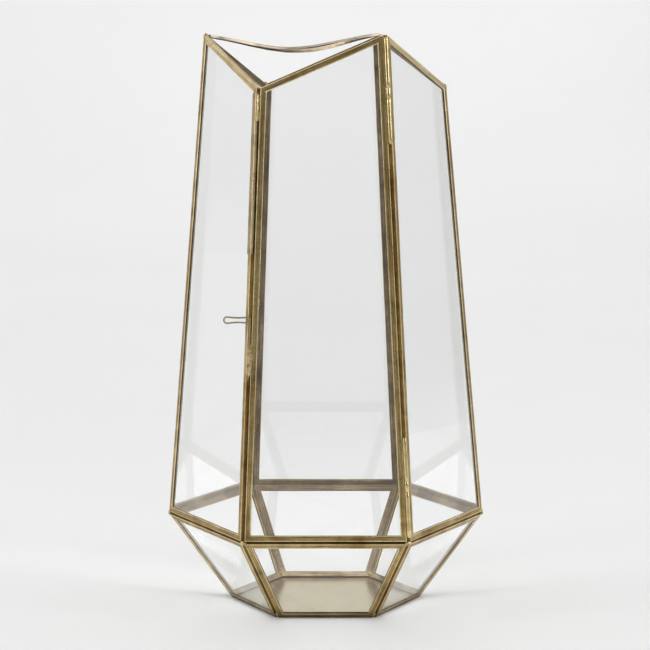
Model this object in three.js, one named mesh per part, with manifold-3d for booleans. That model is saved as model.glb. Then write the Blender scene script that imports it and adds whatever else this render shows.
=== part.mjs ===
// Hexagonal leaded-glass cloche: a flared lower bowl, a tall tapering upper part with a crown rim,
// and one glazed door. Millimetres, +Z up, the door faces -Y, the underside of the base is z = 0.
//
// Every pane is edged by a strip of brass U-channel that is notched and folded round it. The frames
// are square-backed, so neighbours meet along their inner corners and leave a V-shaped groove outside.
import * as THREE from "three";
import { mergeVertices } from "three/addons/utils/BufferGeometryUtils.js";
import Module from "manifold-3d";

// ---------------------------------------------------------------- driving dimensions
// Lattice: the lines on which the inner corners of neighbouring frames meet.
const BASE_Z = 1.65;
const BASE_RADIUS = 66.9;
const BELT_Z = 64.2;
const BELT_RADIUS = 112.5;
const RIM_HIGH_Z = 412;
const RIM_LOW_Z = 376;
const TAPER = 0.0862; // radius lost per millimetre of height above the belt
const LEAN = -0.0057; // sideways drift per millimetre above the belt: it was soldered up by hand

// Channel frames and panes.
const CHANNEL_DEPTH = 3.3; // across the pane's faces
const CHANNEL_LEG = 4.1; // how far each leg covers the pane
const CHANNEL_WALL = 0.4;
const CHANNEL_SLOT = 2.6;
const JOINT_INSET = 0.2; // each frame's share of the gap to its neighbour
const MITRE_SLIT = 0.3; // cut between two folded legs
const PANE_THICKNESS = 2;
const FIT_GAP = 0.3;

// Base sheet.
const PLATE_RADIUS = 67.8;
const PLATE_THICKNESS = 1;

// Door hinges: tubes and a wire pin on an axis that lies in the front-right groove.
const HINGE_OFFSET = 3.3; // from the inner corner, out along the groove
const TUBE_RADIUS = 1.5;
const TUBE_BORE = 0.9;
const PIN_RADIUS = 0.8;
const TUBE_GAP = 0.5;
const PIN_OVERHANG = 0.8;
const HINGES = {
  upper: { bottom: 338.2, doorBottom: 368.7, doorTop: 375.8, top: 409.6 },
  lower: { bottom: 67.7, doorBottom: 98.9, doorTop: 105.8, top: 135.8 },
};

// Wire pull on the free edge of the door.
const PULL_WIRE = 0.5; // radius
const PULL_OFFSET = 2.9; // from the inner corner, out along the groove
const PULL_Z = 217.3;
const PULL_REACH = 18.7;
const PULL_TAIL_Z = 176;
const PULL_HALF = { root: 1.95, neck: 1.6, end: 2.2 };
const PULL_SOLDER_Z = [178, 200];

// Short rod soldered in the front-left groove, under the rim.
const ROD_RADIUS = 0.9;
const ROD_OFFSET = 2.5;
const ROD_Z = [353, 371.5];

// Strip across the mouth, from the left high corner to the back-right one.
const STRIP_WIDTH = 4.8;
const STRIP_DEPTH = 2;
const STRIP_WALL = 0.5;
const STRIP_HEIGHTS = [411.1, 409, 406.7, 404.3, 402.2, 401.3, 402.1, 404.3, 407, 409.8, 411.9];
const STRIP_TWIST_DEG = [3, 5, 8, 13, 22, 40, 58, 60, 38, 22, 8]; // the front edge rises

// Solder at the corners.
const SOLDER_GAP = 0.3;
const SWING_GAP = 1.2; // between fixed solder and the door

const CORNERS = ["R", "BR", "BL", "L", "FL", "FR"]; // counter-clockwise from +X
const HIGH = new Set(["L", "FR", "BR"]);
const DOOR_PANEL = 4; // between FL and FR

// ---------------------------------------------------------------- materials
const finish = (color, roughness, metalness, extra = {}) => () =>
  new THREE.MeshStandardMaterial({ color, roughness, metalness, ...extra });
const brass = finish("#84714a", 0.42, 0.9);
const hingeBrass = finish("#93805a", 0.38, 0.9);
const plateBrass = finish("#b9a878", 0.45, 0.85);
const stripBrass = finish("#7d6d52", 0.45, 0.9);
const solder = finish("#8a7c62", 0.5, 0.85);
const glass = finish("#dfe6e2", 0.06, 0, { transparent: true, opacity: 0.3 });

// ---------------------------------------------------------------- solids
const wasm = await Module();
wasm.setup();

// A closed geometry as a solid that can be joined and cut.
function toSolid(geometry) {
  const bare = geometry.clone();
  bare.deleteAttribute("normal");
  bare.deleteAttribute("uv");
  const merged = mergeVertices(bare, 1e-4);
  return new wasm.Manifold(
    new wasm.Mesh({
      numProp: 3,
      vertProperties: merged.attributes.position.array,
      triVerts: new Uint32Array(merged.index.array),
    }),
  );
}

function toGeometry(solid) {
  const { vertProperties, triVerts } = solid.getMesh();
  const indexed = new THREE.BufferGeometry();
  indexed.setAttribute("position", new THREE.BufferAttribute(new Float32Array(vertProperties), 3));
  indexed.setIndex(new THREE.BufferAttribute(new Uint32Array(triVerts), 1));
  const geometry = indexed.toNonIndexed();
  geometry.computeVertexNormals();
  return geometry;
}

const cut = (geometry, cutters) =>
  cutters.reduce((body, cutter) => body.subtract(toSolid(cutter)), toSolid(geometry));

const largestBody = (solid) =>
  solid.decompose().reduce((best, body) => (body.volume() > best.volume() ? body : best));

// ---------------------------------------------------------------- lattice
const cornerIndex = (name) => CORNERS.indexOf(name);
const radialAt = (i) => new THREE.Vector3(Math.cos((i * Math.PI) / 3), Math.sin((i * Math.PI) / 3), 0);
const basePoint = (i) => radialAt(i).multiplyScalar(BASE_RADIUS).setZ(BASE_Z);
function upperPoint(i, z) {
  const rise = z - BELT_Z;
  const point = radialAt(i).multiplyScalar(BELT_RADIUS - TAPER * rise);
  return point.setX(point.x + LEAN * rise).setZ(z);
}
const rimZ = (i) => (HIGH.has(CORNERS[i % CORNERS.length]) ? RIM_HIGH_Z : RIM_LOW_Z);
const rimPoint = (i) => upperPoint(i, rimZ(i));

// The direction that leaves a corner edge of the upper part square to it, outwards.
const grooveDirection = (i) => radialAt(i).setZ(TAPER).normalize();
const groovePoint = (i, z, offset) => upperPoint(i, z).addScaledVector(grooveDirection(i), offset);

// A panel: its lattice corners flattened to 2-D, and the matrix from there back to the vessel's frame.
// Local x runs along the bottom edge, y up the panel and z outwards from the frame's inner face.
function panelFrom(corners) {
  const along = corners[1].clone().sub(corners[0]).normalize();
  const out = along.clone().cross(corners[3].clone().sub(corners[0])).normalize();
  const up = out.clone().cross(along);
  const matrix = new THREE.Matrix4().makeBasis(along, up, out).setPosition(corners[0]);
  const inverse = matrix.clone().invert();
  const flat = corners.map((p) => p.clone().applyMatrix4(inverse));
  return { matrix, along, out, outline: flat.map((p) => new THREE.Vector2(p.x, p.y)) };
}

const upperPanel = (i) =>
  panelFrom([upperPoint(i, BELT_Z), upperPoint(i + 1, BELT_Z), rimPoint(i + 1), rimPoint(i)]);
const lowerPanel = (i) =>
  panelFrom([basePoint(i), basePoint(i + 1), upperPoint(i + 1, BELT_Z), upperPoint(i, BELT_Z)]);

// A convex counter-clockwise outline with every edge moved inwards.
function inset(outline, distance) {
  const count = outline.length;
  const edges = outline.map((start, i) => {
    const direction = outline[(i + 1) % count].clone().sub(start).normalize();
    const inward = new THREE.Vector2(-direction.y, direction.x);
    return { point: start.clone().addScaledVector(inward, distance), direction };
  });
  return edges.map((edge, i) => {
    const before = edges[(i + count - 1) % count];
    const gap = edge.point.clone().sub(before.point);
    const step = gap.cross(edge.direction) / before.direction.cross(edge.direction);
    return before.point.clone().addScaledVector(before.direction, step);
  });
}

function slab(outline, low, high) {
  const shape = new THREE.Shape(outline);
  return new THREE.ExtrudeGeometry(shape, { depth: high - low, bevelEnabled: false }).translate(0, 0, low);
}

// ---------------------------------------------------------------- panels
// The thin cut where two legs of the folded channel meet, from the window's corner towards the back.
function mitreSlit(outline, i) {
  const inner = inset(outline, CHANNEL_LEG + 0.5)[i];
  const outer = inset(outline, JOINT_INSET + CHANNEL_WALL + 0.3)[i];
  const direction = outer.clone().sub(inner).normalize();
  const side = new THREE.Vector2(-direction.y, direction.x).multiplyScalar(MITRE_SLIT / 2);
  const outlineOfCut = [
    inner.clone().sub(side),
    outer.clone().sub(side),
    outer.clone().add(side),
    inner.clone().add(side),
  ];
  return slab(outlineOfCut, -1, CHANNEL_DEPTH + 1);
}

function channelFrame({ outline }) {
  const slotLow = (CHANNEL_DEPTH - CHANNEL_SLOT) / 2;
  const window = slab(inset(outline, CHANNEL_LEG), -1, CHANNEL_DEPTH + 1);
  const slot = slab(inset(outline, JOINT_INSET + CHANNEL_WALL), slotLow, slotLow + CHANNEL_SLOT);
  const slits = outline.map((_, i) => mitreSlit(outline, i));
  return toGeometry(cut(slab(inset(outline, JOINT_INSET), 0, CHANNEL_DEPTH), [window, slot, ...slits]));
}

function pane({ outline }) {
  const low = (CHANNEL_DEPTH - PANE_THICKNESS) / 2;
  return slab(inset(outline, JOINT_INSET + CHANNEL_WALL + FIT_GAP), low, low + PANE_THICKNESS);
}

// The full thickness of a frame and its pane, grown on every side: what a neighbour is cut to.
const grownPanel = ({ outline, matrix }, gap) =>
  slab(inset(outline, JOINT_INSET - gap), -gap, CHANNEL_DEPTH + gap).applyMatrix4(matrix);

// ---------------------------------------------------------------- round pieces
const UP = new THREE.Vector3(0, 1, 0);

// Moves a geometry whose axis is +Y and whose middle is the origin to lie between two points.
function between(geometry, start, end) {
  const turn = new THREE.Quaternion().setFromUnitVectors(UP, end.clone().sub(start).normalize());
  const middle = start.clone().lerp(end, 0.5);
  return geometry.applyQuaternion(turn).translate(middle.x, middle.y, middle.z);
}

const rod = (start, end, radius) =>
  between(new THREE.CylinderGeometry(radius, radius, start.distanceTo(end), 24), start, end);

function tube(start, end, radius, bore) {
  const half = start.distanceTo(end) / 2;
  const profile = [
    [bore, -half],
    [radius, -half],
    [radius, half],
    [bore, half],
    [bore, -half],
  ].map(([x, y]) => new THREE.Vector2(x, y));
  return between(new THREE.LatheGeometry(profile, 32), start, end);
}

function wire(points, radius, steps) {
  const section = new THREE.Shape(new THREE.EllipseCurve(0, 0, radius, radius).getPoints(12).slice(0, 12));
  const extrudePath = new THREE.CatmullRomCurve3(points);
  return new THREE.ExtrudeGeometry(section, { steps, bevelEnabled: false, extrudePath });
}

// A lump of solder: an ellipsoid with its axes along the given basis.
function lump(centre, basis, radii) {
  const matrix = new THREE.Matrix4().makeBasis(...basis).scale(new THREE.Vector3(...radii));
  return new THREE.IcosahedronGeometry(1, 4).applyMatrix4(matrix.setPosition(centre));
}

// ---------------------------------------------------------------- assembly
const group = new THREE.Group();
group.name = "glass_cloche";

function add(name, geometry, material, parent = group) {
  const mesh = new THREE.Mesh(geometry, material());
  mesh.name = name;
  parent.add(mesh);
}

const plateOutline = CORNERS.map((_, i) => radialAt(i).multiplyScalar(PLATE_RADIUS));
add("base_plate", slab(plateOutline.map((p) => new THREE.Vector2(p.x, p.y)), 0, PLATE_THICKNESS), plateBrass);

// Framed panes, each pair in a group that stands on the panel's bottom edge.
const lowers = CORNERS.map((_, i) => lowerPanel(i));
const uppers = CORNERS.map((_, i) => upperPanel(i));

function addPanel(panel, frameName, glassName) {
  const holder = new THREE.Group();
  holder.applyMatrix4(panel.matrix);
  add(frameName, channelFrame(panel), brass, holder);
  add(glassName, pane(panel), glass, holder);
  group.add(holder);
}

CORNERS.forEach((name, i) => {
  const place = `${name}_${CORNERS[(i + 1) % CORNERS.length]}`;
  addPanel(lowers[i], `lower_frame_${place}`, `lower_glass_${place}`);
  if (i === DOOR_PANEL) {
    addPanel(uppers[i], "door_frame", "door_glass");
  } else {
    addPanel(uppers[i], `upper_frame_${place}`, `upper_glass_${place}`);
  }
});

// Door hinges: on each pin a fixed tube, the door's own tube and another fixed tube.
const hingePoint = (z) => groovePoint(cornerIndex("FR"), z, HINGE_OFFSET);
const hingeTube = (low, high) => tube(hingePoint(low), hingePoint(high), TUBE_RADIUS, TUBE_BORE);

Object.entries(HINGES).forEach(([name, { bottom, doorBottom, doorTop, top }]) => {
  const pin = rod(hingePoint(bottom - PIN_OVERHANG), hingePoint(top + PIN_OVERHANG), PIN_RADIUS);
  add(`hinge_${name}_tube_low`, hingeTube(bottom, doorBottom - TUBE_GAP), hingeBrass);
  add(`hinge_${name}_tube_door`, hingeTube(doorBottom, doorTop), hingeBrass);
  add(`hinge_${name}_tube_high`, hingeTube(doorTop + TUBE_GAP, top), hingeBrass);
  add(`hinge_${name}_pin`, pin, hingeBrass);
});

// Door pull: a keyhole loop of wire whose shank runs down the groove beside the door's free edge.
const door = uppers[DOOR_PANEL];
const FL = cornerIndex("FL");
const doorLeft = door.along.clone().negate();
const shankUp = rimPoint(FL).sub(upperPoint(FL, BELT_Z)).normalize();
const shankPoint = (z) => groovePoint(FL, z, PULL_OFFSET);

function pullPath() {
  const square = doorLeft.clone().cross(door.out);
  const at = (left, up) =>
    shankPoint(PULL_Z).addScaledVector(doorLeft, left).addScaledVector(square, up);
  const { root, neck, end } = PULL_HALF;
  const centre = PULL_REACH - end - PULL_WIRE;
  const points = [shankPoint(PULL_TAIL_Z), shankPoint((PULL_TAIL_Z + PULL_Z) / 2), shankPoint(PULL_Z - 7)];
  points.push(at(-0.1, root - 1.8), at(0.25, root - 0.4), at(1.4, root), at(3.4, root - 0.1));
  points.push(at(6.5, neck), at(10, neck), at(centre - 1.6, end - 0.2));
  for (let step = 0; step <= 8; step++) {
    const angle = Math.PI / 2 - (Math.PI * step) / 8;
    points.push(at(centre + end * Math.cos(angle), end * Math.sin(angle)));
  }
  points.push(at(centre - 1.6, 0.2 - end), at(10, -neck), at(6.5, -neck), at(3.4, 0.1 - root), at(0, -root));
  return points;
}
add("door_pull", wire(pullPath(), PULL_WIRE, 96), hingeBrass);

const solderMiddle = shankPoint((PULL_SOLDER_Z[0] + PULL_SOLDER_Z[1]) / 2).addScaledVector(doorLeft, -0.7);
const solderReach = (PULL_SOLDER_Z[1] - PULL_SOLDER_Z[0]) / 2;
const pullBasis = [doorLeft, shankUp, doorLeft.clone().cross(shankUp)];
const pullSolder = cut(lump(solderMiddle, pullBasis, [2.6, solderReach, 1.7]), [
  grownPanel(door, SOLDER_GAP),
  grownPanel(uppers[DOOR_PANEL - 1], 2 * SOLDER_GAP),
  rod(shankPoint(PULL_TAIL_Z - 4), shankPoint(PULL_Z - 7), PULL_WIRE + SOLDER_GAP),
]);
add("door_pull_solder", toGeometry(largestBody(pullSolder)), solder);

// Rod in the front-left groove.
const [rodStart, rodEnd] = ROD_Z.map((z) => groovePoint(FL, z, ROD_OFFSET));
add("corner_rod", rod(rodStart, rodEnd, ROD_RADIUS), hingeBrass);

// Strip across the mouth: a shallow channel that sags and twists along its length.
function stripGeometry(profile, steps) {
  const start = rimPoint(cornerIndex("L"));
  const end = rimPoint(cornerIndex("BR"));
  const last = STRIP_HEIGHTS.length - 1;
  const curvePoints = STRIP_HEIGHTS.map((z, i) => start.clone().lerp(end, i / last).setZ(z));
  const curve = new THREE.CatmullRomCurve3(curvePoints);
  const across = new THREE.Vector3(0, 0, 1).cross(end.clone().sub(start)).normalize();
  const positions = [];
  const index = [];
  const count = profile.length;
  for (let s = 0; s <= steps; s++) {
    const t = s / steps;
    const low = Math.min(Math.floor(t * last), last - 1);
    const twist = THREE.MathUtils.lerp(STRIP_TWIST_DEG[low], STRIP_TWIST_DEG[low + 1], t * last - low);
    const tangent = curve.getTangent(t);
    const x = across.clone().applyAxisAngle(tangent, THREE.MathUtils.degToRad(-twist));
    const y = tangent.clone().cross(x);
    profile.forEach((p) => {
      const vertex = curve.getPoint(t).addScaledVector(x, p.x).addScaledVector(y, p.y);
      positions.push(...vertex);
    });
  }
  for (let a = 0; a < steps * count; a++) {
    const b = a - (a % count) + ((a + 1) % count);
    index.push(a, b, b + count, a, b + count, a + count);
  }
  THREE.ShapeUtils.triangulateShape(profile, []).forEach(([a, b, c]) => {
    index.push(a, c, b);
    index.push(a + steps * count, b + steps * count, c + steps * count);
  });
  const geometry = new THREE.BufferGeometry();
  geometry.setAttribute("position", new THREE.Float32BufferAttribute(positions, 3));
  return geometry.setIndex(index);
}
const edge = STRIP_WIDTH / 2;
const face = STRIP_DEPTH / 2;
// The legs point down.
const stripProfile = [
  [-edge, face],
  [-edge, -face],
  [STRIP_WALL - edge, -face],
  [STRIP_WALL - edge, face - STRIP_WALL],
  [edge - STRIP_WALL, face - STRIP_WALL],
  [edge - STRIP_WALL, -face],
  [edge, -face],
  [edge, face],
].map(([x, y]) => new THREE.Vector2(x, y));
// Its ends are trimmed to the frames they are soldered to.
const strip = cut(stripGeometry(stripProfile, 40), uppers.map((panel) => grownPanel(panel, FIT_GAP)));
add("top_strip", toGeometry(largestBody(strip)), stripBrass);

// Solder lumps in the corners, clear of every frame round them and of the door's swing.
function cornerSolder(centre, outward, radii, cutters) {
  const side = new THREE.Vector3(0, 0, 1).cross(outward).normalize();
  const basis = [outward, side, outward.clone().cross(side)];
  return toGeometry(largestBody(cut(lump(centre, basis, radii), cutters)));
}
const fixedOrSwinging = (i) => grownPanel(uppers[i], i === DOOR_PANEL ? SWING_GAP : SOLDER_GAP);

CORNERS.forEach((name, i) => {
  const around = [(i + CORNERS.length - 1) % CORNERS.length, i];
  const upperCutters = around.map(fixedOrSwinging);
  const lowerCutters = around.map((p) => grownPanel(lowers[p], SOLDER_GAP));
  const belt = upperPoint(i, BELT_Z - 0.6).addScaledVector(radialAt(i), 2.3);
  const beltSolder = cornerSolder(belt, radialAt(i), [1.7, 2.8, 2.6], [...upperCutters, ...lowerCutters]);
  add(`solder_belt_${name}`, beltSolder, solder);
  const foot = basePoint(i).addScaledVector(radialAt(i), 2.1).setZ(3.1);
  add(`solder_base_${name}`, cornerSolder(foot, radialAt(i), [1.7, 2.6, 2.4], lowerCutters), solder);
  if (name !== "FL" && name !== "FR") {
    const tip = groovePoint(i, rimZ(i) - 2.4, 2.2);
    add(`solder_rim_${name}`, cornerSolder(tip, grooveDirection(i), [1.6, 2.4, 2.6], upperCutters), solder);
  }
});

export default group;
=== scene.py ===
"""Studio view of a hexagonal leaded-glass vessel: brass channel, clear panes and a hinged side door."""
import math

import bmesh
import bpy
from mathutils import Matrix, Vector, noise


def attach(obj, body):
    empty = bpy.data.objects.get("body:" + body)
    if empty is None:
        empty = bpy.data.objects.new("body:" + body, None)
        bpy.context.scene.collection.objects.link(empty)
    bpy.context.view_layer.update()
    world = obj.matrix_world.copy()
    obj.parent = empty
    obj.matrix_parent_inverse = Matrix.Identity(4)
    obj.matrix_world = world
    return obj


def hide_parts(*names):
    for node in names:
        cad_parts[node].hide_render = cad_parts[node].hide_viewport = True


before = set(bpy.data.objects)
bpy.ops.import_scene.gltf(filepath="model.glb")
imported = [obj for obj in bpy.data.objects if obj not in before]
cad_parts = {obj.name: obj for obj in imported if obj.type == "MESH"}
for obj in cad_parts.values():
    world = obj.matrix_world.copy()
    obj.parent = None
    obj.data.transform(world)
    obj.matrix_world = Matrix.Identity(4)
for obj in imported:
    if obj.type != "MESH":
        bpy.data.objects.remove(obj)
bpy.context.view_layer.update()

MM = 0.001

# ------------------------------------------------------------------ sizes in mm
# The lattice: six corner posts from a hexagonal base, out to a belt and in to a rim that rises and falls.
BASE_Z, BASE_RADIUS = 1.65, 66.9
BELT_Z, BELT_RADIUS = 64.2, 112.5
RIM_HIGH_Z, RIM_LOW_Z = 412.0, 376.0
TAPER, LEAN = 0.0862, -0.0057
CORNERS = ["R", "BR", "BL", "L", "FL", "FR"]
HIGH = {"L", "FR", "BR"}
FL, FR = CORNERS.index("FL"), CORNERS.index("FR")
DOOR_PANEL = FL

# The channel round each pane, and the sheet under the vessel.
CHANNEL_DEPTH, CHANNEL_LEG = 3.3, 4.1
PLATE_RADIUS, PLATE_THICKNESS = 67.8, 1.0

# Each hinge: its bottom, the bottom and top of its middle tube, which is the door's, and its top.
HINGE_OFFSET, TUBE_RADIUS, TUBE_BORE, PIN_RADIUS = 3.3, 1.5, 0.9, 0.8
TUBE_GAP, PIN_OVERHANG = 0.5, 0.8
HINGES = {
    "upper": (338.2, 368.7, 375.8, 409.6),
    "lower": (67.7, 98.9, 105.8, 135.8),
}

# The wire pull at the door's free edge, its solder, and the short rod near the top of the same post.
PULL_WIRE, PULL_OFFSET, PULL_Z, PULL_REACH, PULL_TAIL_Z = 0.58, 2.9, 217.3, 18.7, 176.0
PULL_ROOT, PULL_NECK, PULL_END = 1.95, 1.6, 2.2
PULL_SOLDER_Z = (178.0, 200.0)
ROD_RADIUS, ROD_OFFSET, ROD_Z = 0.9, 2.5, (353.0, 371.5)

# The strip across the mouth: heights and twist at even steps along it.
STRIP_WIDTH, STRIP_DEPTH, STRIP_WALL = 4.8, 2.0, 0.5
STRIP_HEIGHTS = [411.6, 409.4, 406.8, 404.2, 402.2, 401.7, 402.6, 404.8, 407.6, 410.5, 412.8]
STRIP_TWIST_DEG = [3, 5, 8, 13, 22, 40, 58, 60, 38, 22, 8]

# The angle strip lapped over the fixed channel beside the door's free edge.
COVER_Z, COVER_LAP, COVER_WALL, COVER_LIFT = (262.6, 372.5), 4.0, 0.5, 0.16
COVER_EDGE, COVER_EDGE_OUT = -1.45, 1.95

# ------------------------------------------------------------------ camera and lights, in metres and watts
CAMERA_PLACE, CAMERA_DROP_DEG, CAMERA_LENS, CAMERA_SENSOR = (-0.0005, -1.5859, 0.4077), 7.365, 121.5, 36
CAMERA_CLIP_END = 60

# Each softbox: place, target, (width, height), power.
LIGHTS = {
    "top": ((0.0, 0.6, 3.2), (0, 0.6, 0), (4.4, 4.4), 45),
    "left": ((-2.8, 0.3, 1.83), (0, 0.3, 1.83), (4.6, 2.2), 28),
    "right": ((2.8, 0.3, 1.83), (0, 0.3, 1.83), (4.6, 2.2), 36),
    "back": ((0.0, 3.0, 3.2), (0, 4.7, 0.5), (5.0, 1.2), 54),
    "front_top": ((0.0, -2.0, 2.9), (0, 0, 0.1), (3.0, 0.9), 12),
    "left_strip": ((-2.3, -1.2, 1.4), (0, 0, 0.3), (0.5, 1.9), 18),
    "right_strip": ((2.3, -1.2, 1.4), (0, 0, 0.3), (0.5, 1.9), 22),
}
AIR_COLOUR, AIR_STRENGTH = (0.84, 0.84, 0.83, 1), 0.24


def make_camera():
    camera = bpy.data.objects.new("camera", bpy.data.cameras.new("camera"))
    bpy.context.scene.collection.objects.link(camera)
    camera.location = CAMERA_PLACE
    camera.rotation_euler = (math.radians(90 - CAMERA_DROP_DEG), 0, 0)
    camera.data.lens = CAMERA_LENS
    camera.data.sensor_width = CAMERA_SENSOR
    camera.data.clip_end = CAMERA_CLIP_END
    bpy.context.scene.camera = camera


def make_light(name, location, target, size, power):
    data = bpy.data.lights.new(name, "AREA")
    data.shape = "RECTANGLE"
    data.size, data.size_y = size
    data.energy = power
    light = bpy.data.objects.new(name, data)
    bpy.context.scene.collection.objects.link(light)
    light.location = location
    light.rotation_euler = (Vector(target) - Vector(location)).to_track_quat("-Z", "Y").to_euler()


def make_air():
    world = bpy.data.worlds.new("studio_air")
    bpy.context.scene.world = world
    world.use_nodes = True
    background = world.node_tree.nodes["Background"]
    background.inputs["Color"].default_value = AIR_COLOUR
    background.inputs["Strength"].default_value = AIR_STRENGTH


# ------------------------------------------------------------------ meshes
def mesh_object(name, verts, faces):
    """A smooth-shaded mesh in the scene."""
    mesh = bpy.data.meshes.new(name)
    mesh.from_pydata([tuple(v) for v in verts], [], faces)
    mesh.validate()
    mesh.update()
    for polygon in mesh.polygons:
        polygon.use_smooth = True
    obj = bpy.data.objects.new(name, mesh)
    bpy.context.scene.collection.objects.link(obj)
    return obj


def finish_mesh(obj, sharp_degrees=None):
    """Faces out, and edges sharper than the angle left sharp."""
    bm = bmesh.new()
    bm.from_mesh(obj.data)
    bmesh.ops.recalc_face_normals(bm, faces=bm.faces)
    if sharp_degrees is not None:
        for edge in bm.edges:
            if len(edge.link_faces) == 2 and edge.calc_face_angle(0) > math.radians(sharp_degrees):
                edge.smooth = False
    bm.to_mesh(obj.data)
    bm.free()


def ring_faces(rows, sides, closed=False, first=0):
    """Quads between neighbouring rings of vertices, each ring of so many sides."""
    faces = []
    for k in range(rows if closed else rows - 1):
        here, there = first + k * sides, first + (k + 1) % rows * sides
        for s in range(sides):
            t = (s + 1) % sides
            faces.append((here + s, here + t, there + t, there + s))
    return faces


def end_faces(rows, sides, first=0):
    """The two caps of a run of rings."""
    last = first + (rows - 1) * sides
    return [tuple(first + s for s in reversed(range(sides))), tuple(last + s for s in range(sides))]


def place(obj, body, slot, *replaced):
    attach(obj, body)
    if replaced:
        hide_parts(*replaced)


# ------------------------------------------------------------------ materials
def grey(value):
    return (value, value, value)


class Finish:
    """A material under construction: a surface shader and the object's own coordinates."""

    def __init__(self, name):
        self.material = bpy.data.materials.new(name)
        self.material.use_nodes = True
        self.nodes = self.material.node_tree.nodes
        self.nodes.clear()
        self.links = self.material.node_tree.links
        self.output = self.nodes.new("ShaderNodeOutputMaterial")
        self.coords = self.nodes.new("ShaderNodeTexCoord").outputs["Object"]
        self.shader = self.nodes.new("ShaderNodeBsdfPrincipled")
        self.links.new(self.shader.outputs[0], self.output.inputs["Surface"])

    def set(self, **values):
        """Each value goes to the shader's input of that name, as a link or as a constant."""
        for key, value in values.items():
            socket = self.shader.inputs[key.replace("_", " ")]
            if isinstance(value, (int, float)):
                socket.default_value = value
            else:
                self.links.new(value, socket)

    def noise(self, scale, detail=4.0, roughness=0.55, distortion=0.0, coords=None):
        node = self.nodes.new("ShaderNodeTexNoise")
        node.inputs["Scale"].default_value = scale
        node.inputs["Detail"].default_value = detail
        node.inputs["Roughness"].default_value = roughness
        node.inputs["Distortion"].default_value = distortion
        self.links.new(coords or self.coords, node.inputs["Vector"])
        return node.outputs["Fac"]

    def ramp(self, value, *stops):
        node = self.nodes.new("ShaderNodeValToRGB")
        elements = node.color_ramp.elements
        while len(elements) < len(stops):
            elements.new(0.5)
        for element, (position, colour) in zip(elements, stops):
            element.position = position
            element.color = (*colour, 1)
        self.links.new(value, node.inputs["Fac"])
        return node.outputs["Color"]

    def mix(self, factor, a, b, mode="MIX"):
        node = self.nodes.new("ShaderNodeMix")
        node.data_type = "RGBA"
        node.blend_type = mode
        for socket, value in ((node.inputs[0], factor), (node.inputs[6], a), (node.inputs[7], b)):
            if isinstance(value, (int, float)):
                socket.default_value = value
            elif isinstance(value, tuple):
                socket.default_value = (*value, 1)
            else:
                self.links.new(value, socket)
        return node.outputs[2]

    def bump(self, height, strength, distance, normal=None):
        node = self.nodes.new("ShaderNodeBump")
        node.inputs["Strength"].default_value = strength
        node.inputs["Distance"].default_value = distance
        self.links.new(height, node.inputs["Height"])
        if normal is not None:
            self.links.new(normal, node.inputs["Normal"])
        return node.outputs["Normal"]

    def scaled(self, vector, scale):
        node = self.nodes.new("ShaderNodeMapping")
        node.inputs["Scale"].default_value = scale
        self.links.new(vector, node.inputs["Vector"])
        return node.outputs["Vector"]

    def map_range(self, value, low, high, to_low, to_high):
        node = self.nodes.new("ShaderNodeMapRange")
        self.links.new(value, node.inputs["Value"])
        for key, number in (("From Min", low), ("From Max", high), ("To Min", to_low), ("To Max", to_high)):
            node.inputs[key].default_value = number
        return node.outputs["Result"]

    def axis(self, letter):
        node = self.nodes.new("ShaderNodeSeparateXYZ")
        self.links.new(self.coords, node.inputs[0])
        return node.outputs[letter]


FOOT_LOW, FOOT_HIGH = 0.001, 0.009  # heights in metres between which a brass finish leaves its foot tone, the painted shade or painted light at its foot


def brass_material(name, light, mid, dark, stain, rough=(0.28, 0.52), grain=1.0, drawn=0.0, foot=0.42):
    """Antiqued brass: mottled patina, stains, pits and lengthways streaks; foot scales the colour of the
    lowest part, below 1 as painted shade near the sheet, above 1 as painted light.
    """
    finish = Finish(name)
    cloud = finish.noise(55, 6, 0.62, 0.4)
    fleck = finish.noise(420, 5, 0.6)
    blotch = finish.noise(17, 3, 0.5, 0.8)
    base = finish.ramp(cloud, (0.28, dark), (0.5, mid), (0.74, light))
    stained = finish.ramp(blotch, (0.46, grey(0)), (0.68, grey(0.75)))
    colour = finish.mix(stained, base, stain)
    flecks = finish.ramp(fleck, (0.3, grey(0.62)), (0.55, grey(1.0)))
    colour = finish.mix(0.55, colour, flecks, "MULTIPLY")
    # Painted shade at the foot: the colour is multiplied by foot at the bottom and rises to 1 by FOOT_HIGH;
    # a foot above 1 paints light there instead.
    low = finish.map_range(finish.axis("Z"), FOOT_LOW, FOOT_HIGH, foot, 1.0)
    colour = finish.mix(1.0, colour, low, "MULTIPLY")
    ripple = finish.noise(140, 3, 0.5)
    normal = finish.bump(ripple, 0.25 * grain, 0.0004)
    if drawn:
        along = finish.nodes.new("ShaderNodeUVMap")
        along.uv_map = "drawn"
        lengthways = finish.scaled(along.outputs["UV"], (3.0, 130.0, 1.0))
        streak = finish.noise(1.0, 4, 0.6, coords=lengthways)
        dull, bright = grey(1 - drawn), grey(1 + drawn * 0.6)
        tone = finish.ramp(streak, (0.34, dull), (0.52, grey(1.0)), (0.66, bright))
        colour = finish.mix(1.0, colour, tone, "MULTIPLY")
        normal = finish.bump(streak, 0.3, 0.0003, normal)
    roughness = finish.map_range(cloud, 0.3, 0.7, rough[1], rough[0])
    normal = finish.bump(fleck, 0.22 * grain, 0.00012, normal)
    finish.set(Base_Color=colour, Metallic=1.0, Roughness=roughness, Normal=normal)
    return finish.material


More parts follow.
